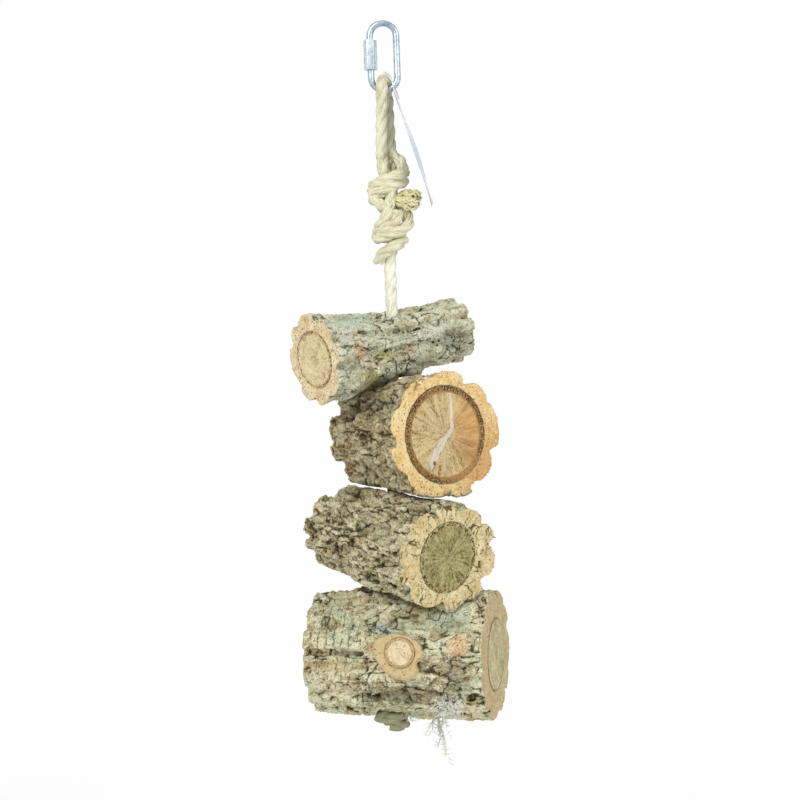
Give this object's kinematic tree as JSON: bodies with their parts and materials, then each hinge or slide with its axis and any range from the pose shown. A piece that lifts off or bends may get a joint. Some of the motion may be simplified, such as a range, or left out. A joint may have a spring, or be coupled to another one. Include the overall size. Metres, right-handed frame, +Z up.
{
  "type": "bird perch",
  "caption": "Hanging bird perch of cork-bark log pieces threaded on a knotted rope below a quick link, with a blank swing tag.",
  "frame": {"origin": "where a cage bar bears, inside the top arch of the quick link, on the link's middle plane", "axes": "+Z up along the hanging link and rope, +X to the right seen from the front, +Y away from the viewer"},
  "size_m": [0.127, 0.1261, 0.4484],
  "materials": {
    "zinc_steel": "bright zinc plate",
    "rope": "laid three-strand rope, off-white",
    "thread": "fine cotton thread",
    "card": "blank coated card",
    "lichen": "dry beard lichen",
    "top_bark": "rough cork bark with grey-green lichen",
    "top_inner_bark": "dark cut inner bark",
    "top_wood": "pale sawn wood",
    "second_bark": "rough cork bark, grey-brown",
    "second_inner_bark": "speckled brown cut inner bark",
    "second_wood": "tan sawn wood",
    "third_bark": "pitted cork bark, grey-green and brown",
    "third_inner_bark": "dark speckled cut inner bark",
    "third_wood": "olive sawn wood",
    "bottom_bark": "plated cork bark, pale grey-green",
    "bottom_inner_bark": "brown cut inner bark",
    "bottom_wood": "dull sawn wood"
  },
  "bodies": {
    "link": {"link_rod": "zinc_steel"},
    "gate": {"gate_nut": "zinc_steel"},
    "loop": {"rope_loop": "rope", "upper_knot": "rope", "lower_knot": "rope", "frayed_end": "rope"},
    "tag": {"tag_card": "card", "tag_thread": "thread"},
    "stem": {"rope_stem": "rope"},
    "core": {"rope_core": "rope", "bottom_knot": "rope"},
    "bottom": {"bottom_log_bark": "bottom_bark", "bottom_log_inner_bark": "bottom_inner_bark", "bottom_log_wood": "bottom_wood", "bottom_log_branch_inner_bark": "bottom_inner_bark", "bottom_log_branch_wood": "bottom_wood", "beard_lichen": "lichen"},
    "third": {"third_log_bark": "third_bark", "third_log_inner_bark": "third_inner_bark", "third_log_wood": "third_wood"},
    "second": {"second_log_bark": "second_bark", "second_log_inner_bark": "second_inner_bark", "second_log_wood": "second_wood"},
    "top": {"top_log_bark": "top_bark", "top_log_inner_bark": "top_inner_bark", "top_log_wood": "top_wood"}
  },
  "joints": [
    {"name": "gate_travel", "type": "slide", "parent": "link", "child": "gate", "axis": [0, 0, -1], "range_m": [0, 0.0045]},
    {"name": "link_swing", "type": "hinge", "parent": "link", "child": "loop", "pos_m": [-0.0003, 0, -0.0384], "axis": [-0.9703, 0.2419, 0], "range_deg": [-15, 15]},
    {"name": "tag_swing", "type": "hinge", "parent": "loop", "child": "tag", "pos_m": [-0.0003, 0, -0.0276], "axis": [0, -1, 0], "range_deg": [0, 30]},
    {"name": "stem_swing", "type": "hinge", "parent": "loop", "child": "stem", "pos_m": [-0.0007, 0, -0.1383], "axis": [0, 1, 0], "range_deg": [-20, 20]},
    {"name": "stack_twist", "type": "hinge", "parent": "stem", "child": "core", "pos_m": [-0.0007, 0, -0.1703], "axis": [0.0279, 0, 0.9996], "range_deg": [-180, 180], "stiffness_Nm_per_rad": 0.02},
    {"name": "stack_lift", "type": "slide", "parent": "core", "child": "bottom", "axis": [0.0279, 0, 0.9996], "range_m": [0, 0.015]},
    {"name": "third_turn", "type": "hinge", "parent": "bottom", "child": "third", "pos_m": [-0.0007, 0, -0.1703], "axis": [0.0279, 0, 0.9996], "range_deg": [-45, 0]},
    {"name": "second_turn", "type": "hinge", "parent": "third", "child": "second", "pos_m": [-0.0007, 0, -0.1703], "axis": [0.0279, 0, 0.9996], "range_deg": [-30, 15]},
    {"name": "top_turn", "type": "hinge", "parent": "second", "child": "top", "pos_m": [-0.0007, 0, -0.1703], "axis": [0.0279, 0, 0.9996], "range_deg": [-40, 30]}
  ]
}
